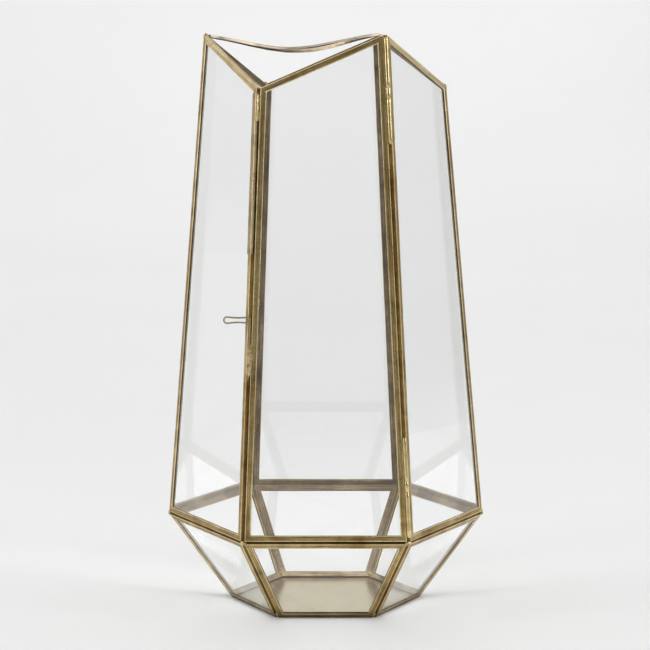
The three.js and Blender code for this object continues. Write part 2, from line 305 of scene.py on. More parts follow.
def plate_material():
    """Satin sheet brass with faint rubbing marks and water stains."""
    finish = Finish("sheet_brass")
    cloud = finish.noise(22, 5, 0.55, 0.3)
    stain = finish.noise(60, 4, 0.6, 1.2)
    fine = finish.noise(900, 3, 0.5)
    brushed = finish.noise(190, 4, 0.6, coords=finish.scaled(finish.coords, (1.0, 16.0, 1.0)))
    base = finish.ramp(cloud, (0.3, (0.54, 0.465, 0.28)), (0.7, (0.575, 0.50, 0.31)))
    marks = finish.ramp(stain, (0.36, grey(0.9)), (0.5, grey(1.0)))
    colour = finish.mix(0.7, base, marks, "MULTIPLY")
    roughness = finish.map_range(brushed, 0.0, 1.0, 0.16, 0.28)
    normal = finish.bump(fine, 0.05, 0.00005, finish.bump(brushed, 0.08, 0.0001))
    finish.set(Base_Color=colour, Metallic=1.0, Roughness=roughness, Normal=normal)
    return finish.material


def solder_material():
    """Solder toned to the brass: rough, lumpy, with brighter patches here and there."""
    finish = Finish("toned_solder")
    cloud = finish.noise(420, 5, 0.65, 0.5)
    pits = finish.noise(1100, 4, 0.6)
    colour = finish.ramp(cloud, (0.32, (0.24, 0.15, 0.055)), (0.5, (0.46, 0.34, 0.155)),
                         (0.68, (0.80, 0.64, 0.41)))
    roughness = finish.map_range(pits, 0.0, 1.0, 0.25, 0.6)
    normal = finish.bump(pits, 0.35, 0.0001, finish.bump(cloud, 0.5, 0.0004))
    finish.set(Base_Color=colour, Metallic=0.95, Roughness=roughness, Normal=normal)
    return finish.material


def glass_material():
    """Clear drawn glass, faintly green, with soft waves and a trace of dust; lamps shine through it."""
    finish = Finish("clear_glass")
    wave = finish.noise(9, 2, 0.4)
    smear = finish.noise(38, 5, 0.6, 0.8)
    tint = finish.ramp(wave, (0.3, (0.982, 0.988, 0.985)), (0.7, (0.990, 0.994, 0.992)))
    roughness = finish.ramp(smear, (0.45, grey(0.0)), (0.8, grey(0.035)))
    normal = finish.bump(wave, 0.03, 0.002)
    finish.set(Base_Color=tint, Transmission_Weight=1.0, IOR=1.5, Roughness=roughness, Normal=normal)
    lamp_path = finish.nodes.new("ShaderNodeLightPath").outputs["Is Shadow Ray"]
    clear = finish.nodes.new("ShaderNodeBsdfTransparent")
    clear.inputs["Color"].default_value = (0.95, 0.96, 0.955, 1)
    blend = finish.nodes.new("ShaderNodeMixShader")
    finish.links.new(lamp_path, blend.inputs["Fac"])
    finish.links.new(finish.shader.outputs[0], blend.inputs[1])
    finish.links.new(clear.outputs[0], blend.inputs[2])
    finish.links.new(blend.outputs[0], finish.output.inputs["Surface"])
    return finish.material


FADE_NEAR, FADE_FAR = 0.45, 1.9  # where the painted shade on the paper starts and ends, in metres towards +x


def stage_material(name, tone, far_tone=None):
    """Matt studio paper, barely cloudy; with a far tone it darkens to that tone towards +x, as painted
    shade.
    """
    finish = Finish(name)
    soft = finish.noise(1.3, 2, 0.4)
    colour = finish.ramp(soft, (0.3, grey(tone)), (0.7, grey(tone + 0.02)))
    if far_tone is not None:
        fade = finish.map_range(finish.axis("X"), FADE_NEAR, FADE_FAR, 1.0, far_tone / tone)
        colour = finish.mix(1.0, colour, fade, "MULTIPLY")
    finish.set(Base_Color=colour, Roughness=0.55, Specular_IOR_Level=0.25)
    return finish.material


# Each brass finish: name, its light, middle and dark tones, its stains.
CHANNEL = brass_material("channel_brass", (0.66, 0.51, 0.24), (0.46, 0.335, 0.135),
                         (0.22, 0.145, 0.045), (0.31, 0.19, 0.065), drawn=0.5)
CHANNEL_BACK = brass_material("channel_back", (0.56, 0.43, 0.20), (0.43, 0.32, 0.135),
                              (0.22, 0.15, 0.055), (0.27, 0.17, 0.06), rough=(0.3, 0.5), drawn=0.45)
# Painted shade: the inner faces get a darker, greyer brass for the darker view they mirror, and foot=1.7
# paints light at their foot.
CHANNEL_INNER_PAINTED_SHADING = brass_material("channel_inner_painted_shading", (0.45, 0.355, 0.23), (0.31, 0.24, 0.155),
                               (0.16, 0.12, 0.075), (0.21, 0.15, 0.095), rough=(0.34, 0.6),
                               drawn=0.5, foot=1.7)
# Painted highlight: a much lighter brass on the leg tips and rounded outer corners, for the bright lines
# they catch.
CHANNEL_EDGE_HIGHLIGHT = brass_material("channel_edge_painted_highlight", (0.97, 0.83, 0.56), (0.86, 0.70, 0.42),
                              (0.50, 0.37, 0.18), (0.50, 0.33, 0.15), rough=(0.22, 0.4), grain=0.6)
# Painted highlight: a lighter brass for the top bars, which catch more light than the posts.
CHANNEL_RIM_HIGHLIGHT = brass_material("channel_rim_painted_highlight", (0.84, 0.72, 0.47), (0.68, 0.55, 0.31),
                             (0.40, 0.30, 0.13), (0.46, 0.33, 0.15), rough=(0.3, 0.5), drawn=0.4)
TUBE_BRASS = brass_material("tube_brass", (0.90, 0.75, 0.45), (0.76, 0.60, 0.31),
                            (0.48, 0.34, 0.14), (0.46, 0.31, 0.12), rough=(0.18, 0.32), grain=0.12)
PULL_BRASS = brass_material("pull_brass", (0.58, 0.47, 0.29), (0.44, 0.35, 0.20),
                            (0.26, 0.19, 0.09), (0.32, 0.23, 0.11), rough=(0.25, 0.4), grain=0.2)
STRIP_BRASS = brass_material("strip_brass", (0.52, 0.45, 0.355), (0.40, 0.34, 0.265),
                             (0.23, 0.19, 0.14), (0.29, 0.23, 0.165), rough=(0.34, 0.55))
# Painted light: a pale cream brass for the lit floor of the strip's slot.
STRIP_LIT = brass_material("strip_underside_painted_light", (1.0, 0.93, 0.80), (0.95, 0.85, 0.70),
                             (0.80, 0.69, 0.54), (0.78, 0.65, 0.50), rough=(0.26, 0.42), grain=0.4)
# Painted shade: a near-black brass for the corner shaded by the strip's upper leg.
STRIP_SHADE = brass_material("strip_inner_corner_painted_shade", (0.22, 0.165, 0.11), (0.15, 0.11, 0.07),
                             (0.08, 0.055, 0.03), (0.10, 0.065, 0.035), rough=(0.45, 0.65))
COVER_BRASS = brass_material("cover_brass", (0.54, 0.42, 0.26), (0.40, 0.305, 0.18),
                             (0.21, 0.15, 0.08), (0.27, 0.19, 0.10), rough=(0.3, 0.5))
PLATE = plate_material()
SOLDER = solder_material()
GLASS = glass_material()
PALE_PAPER = stage_material("studio_paper", 0.825)
# Painted shade: paper that darkens outwards, for the right side's darker reflections.
SHADED_PAPER = stage_material("studio_paper_painted_shade", 0.825, 0.40)


# ------------------------------------------------------------------ lattice
def radial(i):
    return Vector((math.cos(i * math.pi / 3), math.sin(i * math.pi / 3), 0))


def base_point(i):
    return radial(i) * BASE_RADIUS + Vector((0, 0, BASE_Z))


def upper_point(i, z):
    rise = z - BELT_Z
    return radial(i) * (BELT_RADIUS - TAPER * rise) + Vector((LEAN * rise, 0, z))


def rim_z(i):
    return RIM_HIGH_Z if CORNERS[i % 6] in HIGH else RIM_LOW_Z


def rim_point(i):
    return upper_point(i, rim_z(i))


def groove_direction(i):
    return (radial(i) + Vector((0, 0, TAPER))).normalized()


def groove_point(i, z, offset):
    return upper_point(i, z) + groove_direction(i) * offset


class Panel:
    """A flat panel: local x along its bottom edge, y up it and z out of it, from the frame's inner face."""

    def __init__(self, corners):
        self.along = (corners[1] - corners[0]).normalized()
        self.out = self.along.cross(corners[3] - corners[0]).normalized()
        self.up = self.out.cross(self.along)
        self.origin = corners[0]
        self.outline = []
        for corner in corners:
            reach = corner - self.origin
            self.outline.append((reach.dot(self.along), reach.dot(self.up)))

    def world(self, x, y, z):
        return (self.origin + self.along * x + self.up * y + self.out * z) * MM


uppers = [Panel([upper_point(i, BELT_Z), upper_point(i + 1, BELT_Z), rim_point(i + 1), rim_point(i)])
          for i in range(6)]
lowers = [Panel([base_point(i), base_point(i + 1), upper_point(i + 1, BELT_Z), upper_point(i, BELT_Z)])
          for i in range(6)]
door = uppers[DOOR_PANEL]


# ------------------------------------------------------------------ channel frames
# Section of the channel as (distance inwards from the lattice edge, height above the inner face, finish).
# It runs from the tip of the outer leg, over its face, round the back, to the tip of the inner leg and back
# through the slot. The finish belongs to the stretch that starts at the point.
# INNER picks the finish with painted shade; EDGE and RIM pick finishes with painted highlights.
FACE, BACK, INNER, EDGE, RIM = 0, 1, 2, 3, 4
CHANNEL_FINISHES = (CHANNEL, CHANNEL_BACK, CHANNEL_INNER_PAINTED_SHADING, CHANNEL_EDGE_HIGHLIGHT, CHANNEL_RIM_HIGHLIGHT)
SEAM_INSET, CHANNEL_WALL, OUTER_ROUND, INNER_ROUND = 0.03, 0.38, 0.52, 0.12
TOP_BAR = 2  # a panel's side along the rim


def channel_section():
    d, leg, wall, i = CHANNEL_DEPTH, CHANNEL_LEG, CHANNEL_WALL, SEAM_INSET
    section = [(leg, d - wall, EDGE), (leg + 0.03, d - wall * 0.5, EDGE), (leg - 0.16, d - 0.03, EDGE),
               (leg - 0.58, d + 0.02, FACE), (leg * 0.55, d + 0.04, FACE),
               (i + OUTER_ROUND + 0.3, d + 0.02, FACE)]
    for step in range(5):
        angle = math.pi / 2 + step * math.pi / 8
        inwards, height = i + OUTER_ROUND * (1 + math.cos(angle)), d - OUTER_ROUND * (1 - math.sin(angle))
        section.append((inwards, height, EDGE if step < 3 else BACK))
    section.append((i - 0.01, d * 0.5, BACK))
    for step in range(4):
        angle = math.pi + step * math.pi / 6
        inwards, height = i + INNER_ROUND * (1 + math.cos(angle)), INNER_ROUND * (1 + math.sin(angle))
        section.append((inwards, height, BACK if step < 2 else INNER))
    section += [(i + 0.6, -0.02, INNER), (leg * 0.55, -0.04, INNER), (leg - 0.34, -0.02, INNER),
                (leg - 0.14, 0.02, EDGE), (leg + 0.03, wall * 0.5, EDGE), (leg, wall, INNER)]
    section += [(i + 2 * wall, wall, INNER), (i + wall, 2 * wall, INNER), (i + wall, d - 2 * wall, INNER),
                (i + 2 * wall, d - wall, INNER)]
    return section


SECTION = channel_section()
RING_STEP, MITRE_STEPS, MITRE_CLEAR = 7, (0.25, 0.9), 1.5
MITRE_REACH, MITRE_DIP = 0.05, 0.16  # the cut edges of two legs dip towards the mitre
LEG_START = 1.2
TIP_WAVE, SIDE_WAVE, LEG_LIFT, BACK_LIFT = 0.16, 0.05, 0.06, 0.025
STREAK_UV = 0.01  # streak UVs per millimetre


def inset_corners(outline, distance):
    """Corners of the outline with every edge moved inwards."""
    n = len(outline)
    lines = []
    for k in range(n):
        a, b = Vector(outline[k]), Vector(outline[(k + 1) % n])
        direction = (b - a).normalized()
        lines.append((a + Vector((-direction.y, direction.x)) * distance, direction))
    result = []
    for k in range(n):
        p, u = lines[k - 1]
        q, v = lines[k]
        step = (q - p).cross(v) / u.cross(v)
        result.append(p + u * step)
    return result


def ring_places(outline):
    """Where the section stands, as (side, share along it), closer together at the mitres."""
    places = []
    for side, (a, b) in enumerate(zip(outline, outline[1:] + outline[:1])):
        length = math.hypot(b[0] - a[0], b[1] - a[1])
        count = max(6, int(length / RING_STEP))
        near = [step / length for step in MITRE_STEPS]
        middle = [s / count for s in range(1, count)
                  if MITRE_CLEAR < s * length / count < length - MITRE_CLEAR]
        shares = [0.0] + near + middle + [1 - share for share in reversed(near)]
        places += [(side, share) for share in shares]
    return places


def channel_point(p, w, z, seed, inward, at_mitre):
    """A point of the section with the waves of hand-folded channel; the slot's floor and sides stay true."""
    if 0.5 < z < CHANNEL_DEPTH - 0.5 and w > 0.4:
        return p.x, p.y, z
    seat = Vector((p.x * 0.03 + seed, p.y * 0.03, w * 0.1))
    on_leg = w > LEG_START
    wave = noise.noise(seat) * (TIP_WAVE if w > CHANNEL_LEG - 1 else SIDE_WAVE)
    lift = noise.noise(seat * 2.1 + Vector((5, 9, 2))) * (LEG_LIFT if on_leg else BACK_LIFT)
    if on_leg and at_mitre:
        lift -= MITRE_DIP
    p = p + inward * wave
    return p.x, p.y, z + lift * (1 if z > CHANNEL_DEPTH / 2 else -1)


def add_streak_uv(obj, verts, rows):
    """UVs that run along the channel in u and round its section in v."""
    m = len(SECTION)
    girth = [0.0]
    for (wa, za, _), (wb, zb, _) in zip(SECTION, SECTION[1:] + SECTION[:1]):
        girth.append(girth[-1] + math.hypot(wb - wa, zb - za))
    reach = [0.0]
    for k in range(rows):
        reach.append(reach[-1] + (verts[(k + 1) % rows * m] - verts[k * m]).length / MM)
    layer = obj.data.uv_layers.new(name="drawn")
    loop = 0
    for k in range(rows):
        for j in range(m):
            for u, v in ((k, j), (k, j + 1), (k + 1, j + 1), (k + 1, j)):
                layer.data[loop].uv = (reach[u] * STREAK_UV, girth[v] * STREAK_UV)
                loop += 1


def frame_mesh(name, panel, seed, bright=()):
    """A channel folded round the panel; on the top bar the parts that bright names take the rim's finish, a
    painted highlight.
    """
    insets = {round(w, 4): inset_corners(panel.outline, w) for w, _, _ in SECTION}
    n = len(panel.outline)
    places = ring_places(panel.outline)
    verts, slots = [], []
    for side, t in places:
        edge = Vector(panel.outline[(side + 1) % n]) - Vector(panel.outline[side])
        inward = Vector((-edge.y, edge.x)) / edge.length
        at_mitre = min(t, 1 - t) * edge.length < MITRE_REACH
        for w, z, tag in SECTION:
            corners = insets[round(w, 4)]
            p = corners[side].lerp(corners[(side + 1) % n], t)
            verts.append(panel.world(*channel_point(p, w, z, seed, inward, at_mitre)))
            slots.append(RIM if side == TOP_BAR and tag in bright else tag)
    obj = mesh_object(name, verts, ring_faces(len(places), len(SECTION), closed=True))
    add_streak_uv(obj, verts, len(places))
    for finish in CHANNEL_FINISHES:
        obj.data.materials.append(finish)
    for polygon, slot in zip(obj.data.polygons, slots):
        polygon.material_index = slot
    finish_mesh(obj, 50)
    return obj


def add_frames():
    for i in range(6):
        where = f"{CORNERS[i]}_{CORNERS[(i + 1) % 6]}"
        lower = frame_mesh(f"came_lower_{where}", lowers[i], 11.3 * i + 2)
        place(lower, "vessel", "channel_brass", f"lower_frame_{where}")
        seed = 17.7 * i + 61
        if i == DOOR_PANEL:
            # The door's top bar gets the painted highlight on its back.
            place(frame_mesh("came_door", uppers[i], seed, (BACK,)), "door", "channel_brass", "door_frame")
            continue
        # Fixed top bars get the painted highlight on the back, and for L_FL and FR_R on the face too.
        bright = (BACK, FACE) if where in ("L_FL", "FR_R") else (BACK,)
        upper = frame_mesh(f"came_upper_{where}", uppers[i], seed, bright)
        place(upper, "vessel", "channel_brass", f"upper_frame_{where}")


add_frames()


# ------------------------------------------------------------------ soldered seams between fixed frames
SEAM_RADIUS, SEAM_LIFT, SEAM_STEP, SEAM_SIDES, SEAM_SWELL = 0.34, 0.3, 2.2, 8, 0.35


def seam_mesh(name, runs):
    """Thin uneven beads of solder that close the joints between neighbouring fixed frames."""
    verts, faces = [], []
    for order, (start, end, outward) in enumerate(runs):
        direction = (end - start).normalized()
        across = direction.cross(outward).normalized()
        count = int((end - start).length / SEAM_STEP)
        first = len(verts)
        for k in range(count + 1):
            centre = start.lerp(end, k / count) + outward * SEAM_LIFT
            lump = noise.noise(Vector((k * 0.31, order * 5.7, 1.0)))
            radius = SEAM_RADIUS * (1 + SEAM_SWELL * lump)
            for side in range(SEAM_SIDES):
                angle = 2 * math.pi * side / SEAM_SIDES
                spoke = outward * math.cos(angle) + across * math.sin(angle)
                verts.append((centre + spoke * radius) * MM)
        faces += ring_faces(count + 1, SEAM_SIDES, first=first)
        faces += end_faces(count + 1, SEAM_SIDES, first)
    obj = mesh_object(name, verts, faces)
    obj.data.materials.append(SOLDER)
    finish_mesh(obj)
    place(obj, "vessel", "solder")


def seam_runs():
    """Lower corners, belt and the upper corners away from the door, each as (start, end, outwards)."""
    runs = []
    for k, corner in enumerate(CORNERS):
        belt, next_belt = upper_point(k, BELT_Z), upper_point(k + 1, BELT_Z)
        runs.append((base_point(k).lerp(belt, 0.03), base_point(k).lerp(belt, 0.97), radial(k)))
        if k != DOOR_PANEL:
            outward = (radial(k) + radial(k + 1)).normalized()
            runs.append((belt.lerp(next_belt, 0.02), belt.lerp(next_belt, 0.98), outward))
        if corner not in ("FL", "FR"):
            runs.append((upper_point(k, BELT_Z + 2), upper_point(k, rim_z(k) - 2), groove_direction(k)))
    return runs


seam_mesh("solder_seams", seam_runs())

# ------------------------------------------------------------------ panes and base sheet
for node_name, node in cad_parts.items():
    if "glass" in node_name:
        node.data.materials.clear()
        node.data.materials.append(GLASS)

SHEET_RINGS, SHEET_WAVE, SHEET_ROLL = 26, 0.10, 0.004
SHEET_EDGE = ((PLATE_RADIUS, 0.75), (PLATE_RADIUS, 0.25), (PLATE_RADIUS - 0.25, 0.0))  # radius, height


def sheet_top():
    """The top of the hexagonal sheet in rings of triangles, very slightly uneven, and its outermost ring."""
    verts, faces, index = [Vector((0, 0, 0))], [], {(0, 0): 0}
    for ring in range(1, SHEET_RINGS + 1):
        for k in range(6 * ring):
            side, part = divmod(k, ring)
            a, b = radial(side) * PLATE_RADIUS, radial(side + 1) * PLATE_RADIUS
            index[ring, k] = len(verts)
            verts.append(a.lerp(b, part / ring) * (ring / SHEET_RINGS))
        for side in range(6):
            for part in range(ring):
                outer_a = index[ring, side * ring + part]
                outer_b = index[ring, (side * ring + part + 1) % (6 * ring)]
                inner_count = max(1, 6 * (ring - 1))
                inner_a = index[ring - 1, (side * (ring - 1) + part) % inner_count]
                faces.append((outer_a, outer_b, inner_a))
                if part < ring - 1:
                    inner_b = index[ring - 1, (side * (ring - 1) + part + 1) % inner_count]
                    faces.append((outer_b, inner_b, inner_a))
    reach = {number: ring / SHEET_RINGS for (ring, _), number in index.items()}
    for number, p in enumerate(verts):
        wave = noise.noise(Vector((p.x * 0.02, p.y * 0.02, 3.1))) * SHEET_WAVE * (1 - reach[number] ** 4)
        p.z = PLATE_THICKNESS + wave
    return verts, faces, [index[SHEET_RINGS, k] for k in range(6 * SHEET_RINGS)]


def base_sheet():
    """The hexagonal sheet with a rolled top edge and a flat underside."""
    verts, faces, rim = sheet_top()
    loops = [rim]
    for radius, z in SHEET_EDGE:
        scale = radius / PLATE_RADIUS
        loops.append(list(range(len(verts), len(verts) + len(rim))))
        verts += [Vector((verts[k].x * scale, verts[k].y * scale, z)) for k in rim]
    for k in rim:
        verts[k].x *= 1 - SHEET_ROLL
        verts[k].y *= 1 - SHEET_ROLL
    count = len(rim)
    for above, below in zip(loops, loops[1:]):
        for k in range(count):
            t = (k + 1) % count
            faces.append((above[k], below[k], below[t], above[t]))
    faces += [(loops[-1][(k + 1) % count], loops[-1][k], len(verts)) for k in range(count)]
    verts.append(Vector((0, 0, 0)))
    obj = mesh_object("sheet_base", [p * MM for p in verts], faces)
    obj.data.materials.append(PLATE)
    finish_mesh(obj, 35)
    place(obj, "vessel", "base_brass", "base_plate")


base_sheet()


# ------------------------------------------------------------------ hinges and rod
def lathe_mesh(name, start, end, profile, sides=40, wobble=0.0, seed=0.0):
    """A closed profile of (radius, share along, offset in mm) turned about the line from start to end."""
    axis = (end - start).normalized()
    length = (end - start).length
    x = axis.orthogonal().normalized()
    y = axis.cross(x).normalized()
    verts, faces = [], []
    m = len(profile)
    for s in range(sides):
        angle = 2 * math.pi * s / sides
        cosine, sine = math.cos(angle), math.sin(angle)
        for radius, share, offset in profile:
            along = share * length + offset
            r = radius + wobble * noise.noise(Vector((along * 0.15 + seed, cosine, sine)))
            verts.append((start + axis * along + (x * cosine + y * sine) * r) * MM)
    for s in range(sides):
        t = (s + 1) % sides
        for k in range(m):
            faces.append((s * m + k, t * m + k, t * m + (k + 1) % m, s * m + (k + 1) % m))
    obj = mesh_object(name, verts, faces)
    obj.data.materials.append(TUBE_BRASS)
    finish_mesh(obj, 40)
    return obj


TUBE_LIP, TUBE_BORE_LIP, TUBE_RING_STEP = 0.22, 0.08, 4


def tube_profile(radius, bore, length):
    lip, mouth = TUBE_LIP, bore + TUBE_BORE_LIP
    profile = [(mouth, 0, 0), (radius - lip, 0, 0), (radius - lip * 0.3, 0, lip * 0.3), (radius, 0, lip)]
    steps = max(2, int(length / TUBE_RING_STEP))
    profile += [(radius, s / steps, 0) for s in range(1, steps)]
    profile += [(radius, 1, -lip), (radius - lip * 0.3, 1, -lip * 0.3), (radius - lip, 1, 0), (mouth, 1, 0)]
    profile += [(bore, 1, -0.1), (bore, 0.5, 0), (bore, 0, 0.1)]
    return profile


def pin_profile(radius):
    half = [(0.02, 0), (radius * 0.6, 0.02), (radius * 0.93, 0.14), (radius, 0.35)]
    profile = [(r, 0, offset) for r, offset in half] + [(radius, 0.5, 0)]
    return profile + [(r, 1, -offset) for r, offset in reversed(half)]


def hinge_point(z):
    return groove_point(FR, z, HINGE_OFFSET)


def add_hinge(name, bottom, door_bottom, door_top, top):
    tubes = (
        ("low", bottom, door_bottom - TUBE_GAP, "vessel", 1.0),
        ("door", door_bottom, door_top, "door", 2.0),
        ("high", door_top + TUBE_GAP, top, "vessel", 3.0),
    )
    for part, low, high, body, seed in tubes:
        start, end = hinge_point(low), hinge_point(high)
        profile = tube_profile(TUBE_RADIUS, TUBE_BORE, (end - start).length)
        tube = lathe_mesh(f"knuckle_{name}_{part}", start, end, profile, wobble=0.006, seed=seed)
        place(tube, body, "hinge_brass", f"hinge_{name}_tube_{part}")
    start, end = hinge_point(bottom - PIN_OVERHANG), hinge_point(top + PIN_OVERHANG)
    pin = lathe_mesh(f"pin_{name}", start, end, pin_profile(PIN_RADIUS), sides=28)
    place(pin, "vessel", "hinge_brass", f"hinge_{name}_pin")


def add_rod():
    r = ROD_RADIUS
    profile = [(0.02, 0, 0), (r * 0.7, 0, 0.05), (r, 0, 0.3), (r, 0.33, 0), (r, 0.66, 0), (r, 1, -0.3),
               (r * 0.7, 1, -0.05), (0.02, 1, 0)]
    start, end = (groove_point(FL, z, ROD_OFFSET) for z in ROD_Z)
    rod = lathe_mesh("groove_rod", start, end, profile, sides=28, wobble=0.05, seed=4.0)
    place(rod, "vessel", "hinge_brass", "corner_rod")


for hinge_name, heights in HINGES.items():
    add_hinge(hinge_name, *heights)
add_rod()


# ------------------------------------------------------------------ door pull
def shank_point(z):
    return groove_point(FL, z, PULL_OFFSET)


def smooth_path(points, per_span=6):
    """Catmull-Rom through the points."""
    result = []
    for k in range(len(points) - 1):
        p0, p1 = points[max(k - 1, 0)], points[k]
        p2, p3 = points[k + 1], points[min(k + 2, len(points) - 1)]
        for s in range(per_span):
            t = s / per_span
            result.append(0.5 * ((2 * p1) + (p2 - p0) * t + (2 * p0 - 5 * p1 + 4 * p2 - p3) * t * t
                                 + (3 * p1 - p0 - 3 * p2 + p3) * t ** 3))
    result.append(points[-1])
    return result


def pull_path():
    """The wire's middle line: up the shank, out along the top of a long loop, round its end and back."""
    left, root = -door.along, shank_point(PULL_Z)
    square = left.cross(door.out)

    def at(reach, up):
        return root + left * reach + square * up

    centre = PULL_REACH - PULL_END - PULL_WIRE
    points = [shank_point(PULL_TAIL_Z), shank_point((PULL_TAIL_Z + PULL_Z) / 2), shank_point(PULL_Z - 7),
              at(-0.1, PULL_ROOT - 1.8), at(0.25, PULL_ROOT - 0.4), at(1.4, PULL_ROOT),
              at(3.4, PULL_ROOT - 0.1), at(6.5, PULL_NECK), at(10, PULL_NECK),
              at(centre - 1.6, PULL_END - 0.2)]
    for step in range(9):
        angle = math.pi / 2 - math.pi * step / 8
        points.append(at(centre + PULL_END * math.cos(angle), PULL_END * math.sin(angle)))
    points += [at(centre - 1.6, 0.2 - PULL_END), at(10, -PULL_NECK), at(6.5, -PULL_NECK),
               at(3.4, 0.1 - PULL_ROOT), at(0, -PULL_ROOT)]
    return smooth_path(points)


def add_pull(sides=16):
    """A round wire along the path, its section square to the door's plane."""
    points = pull_path()
    verts = []
    for k, point in enumerate(points):
        tangent = (points[min(k + 1, len(points) - 1)] - points[max(k - 1, 0)]).normalized()
        across = door.out.cross(tangent).normalized()
        for s in range(sides):
            angle = 2 * math.pi * s / sides
            spoke = across * PULL_WIRE * math.cos(angle) + door.out * PULL_WIRE * math.sin(angle)
            verts.append((point + spoke) * MM)
    faces = ring_faces(len(points), sides) + end_faces(len(points), sides)
    pull = mesh_object("pull_wire", verts, faces)
    finish_mesh(pull, 40)
    pull.data.materials.append(PULL_BRASS)
    place(pull, "door", "hinge_brass", "door_pull")


add_pull()


# ------------------------------------------------------------------ solder
# Lumps as (outwards, sideways, upwards) radii, with how far they sit out from the corner and below it.
BELT_SOLDER, BELT_SOLDER_DROP, BELT_SOLDER_OUT = (1.6, 2.7, 2.3), 0.5, 1.75
SWING_SOLDER, SWING_SOLDER_DROP = (1.5, 2.5, 1.6), 1.3
BASE_SOLDER, BASE_SOLDER_Z, BASE_SOLDER_OUT = (1.7, 2.2, 2.3), 2.7, 1.4
RIM_SOLDER, RIM_SOLDER_DROP, RIM_SOLDER_OUT = (1.8, 2.2, 2.4), 1.0, 1.2
PULL_SOLDER_LEFT, PULL_SOLDER_HALF = 0.7, (1.9, 1.35)


def blob(name, centre, basis, radii, seed, rough=0.22, detail=4):
    """A lump of solder: a ball drawn out along the basis, made uneven."""
    bm = bmesh.new()
    bmesh.ops.create_icosphere(bm, subdivisions=detail, radius=1.0)
    for v in bm.verts:
        d = v.co.normalized()
        swell = 1 + rough * noise.noise(d * 1.4 + Vector((seed, seed * 0.7, 1.0)))
        swell += rough * 0.45 * noise.noise(d * 3.6 + Vector((seed, 4.0, seed)))
        p = centre + basis[0] * d.x * radii[0] * swell
        p += basis[1] * d.y * radii[1] * swell + basis[2] * d.z * radii[2] * swell
        v.co = p * MM
    mesh = bpy.data.meshes.new(name)
    bm.to_mesh(mesh)
    bm.free()
    for polygon in mesh.polygons:
        polygon.use_smooth = True
    obj = bpy.data.objects.new(name, mesh)
    bpy.context.scene.collection.objects.link(obj)
    obj.data.materials.append(SOLDER)
    finish_mesh(obj)
    return obj


def add_corner_solder(k, corner):
    outward, upright = radial(k), Vector((0, 0, 1))
    sideways = upright.cross(outward).normalized()
    basis = (outward, sideways, upright)
    swing = corner in ("FL", "FR")
    drop, radii = (SWING_SOLDER_DROP, SWING_SOLDER) if swing else (BELT_SOLDER_DROP, BELT_SOLDER)
    centre = upper_point(k, BELT_Z - drop) + outward * BELT_SOLDER_OUT
    belt = blob(f"belt_joint_{corner}", centre, basis, radii, 3.1 * k + 1)
    place(belt, "vessel", "solder", f"solder_belt_{corner}")
    foot_centre = base_point(k) + outward * BASE_SOLDER_OUT
    foot_centre.z = BASE_SOLDER_Z
    foot = blob(f"base_joint_{corner}", foot_centre, basis, BASE_SOLDER, 5.3 * k + 2)
    place(foot, "vessel", "solder", f"solder_base_{corner}")
    if not swing:
        tip = groove_point(k, rim_z(k) - RIM_SOLDER_DROP, RIM_SOLDER_OUT)
        tip_basis = (groove_direction(k), sideways, upright)
        rim = blob(f"rim_joint_{corner}", tip, tip_basis, RIM_SOLDER, 7.7 * k + 3)
        place(rim, "vessel", "solder", f"solder_rim_{corner}")


def add_pull_solder():
    left = -door.along
    up = (rim_point(FL) - upper_point(FL, BELT_Z)).normalized()
    low, high = PULL_SOLDER_Z
    middle = shank_point((low + high) / 2) - left * PULL_SOLDER_LEFT
    radii = (PULL_SOLDER_HALF[0], (high - low) / 2, PULL_SOLDER_HALF[1])
    patch = blob("pull_joint", middle, (left, up, left.cross(up)), radii, 9.4, rough=0.5, detail=5)
    place(patch, "door", "solder", "door_pull_solder")


for number, corner_name in enumerate(CORNERS):
    add_corner_solder(number, corner_name)
add_pull_solder()


# ------------------------------------------------------------------ strips
def loft(name, rings, finishes, finish_of, sharp_degrees):
    """A closed skin through rings of points in mm; finish_of picks the finish of each side of the ring."""
    m = len(rings[0])
    verts = [point * MM for ring in rings for point in ring]
    obj = mesh_object(name, verts, ring_faces(len(rings), m) + end_faces(len(rings), m))
    for finish in finishes:
        obj.data.materials.append(finish)
    skin = (len(rings) - 1) * m
    for k, polygon in enumerate(obj.data.polygons):
        polygon.material_index = finish_of.get(k % m, 0) if k < skin else 0
    finish_mesh(obj, sharp_degrees)
    return obj


def interpolate(values, t):
    position = t * (len(values) - 1)
    low = min(int(position), len(values) - 2)
    return values[low] + (values[low + 1] - values[low]) * (position - low)


COVER_STEP, COVER_SWAY = 4, 0.12


def cover_section():
    """The angle strip's section as (along the door, out of the door) from the lattice corner."""
    fixed = uppers[DOOR_PANEL - 1]
    n = Vector((fixed.out.dot(door.along), fixed.out.dot(door.out)))
    u = -Vector((fixed.along.dot(door.along), fixed.along.dot(door.out)))
    near, far = CHANNEL_DEPTH + COVER_LIFT, CHANNEL_DEPTH + COVER_LIFT + COVER_WALL
    edge, back, front, bevel = COVER_EDGE, COVER_EDGE_OUT, COVER_EDGE_OUT + COVER_WALL, 0.12
    return [n * near + u * COVER_LAP, n * near, Vector((edge, back)), Vector((edge + 0.1, back + bevel)),
            Vector((edge + 0.1, front - bevel)), Vector((edge, front)), Vector((edge - 0.5, front)),
            n * far + Vector((0.3, 0.2)), n * far + u * 0.15, n * far + u * (COVER_LAP - bevel),
            n * (far - bevel) + u * COVER_LAP]


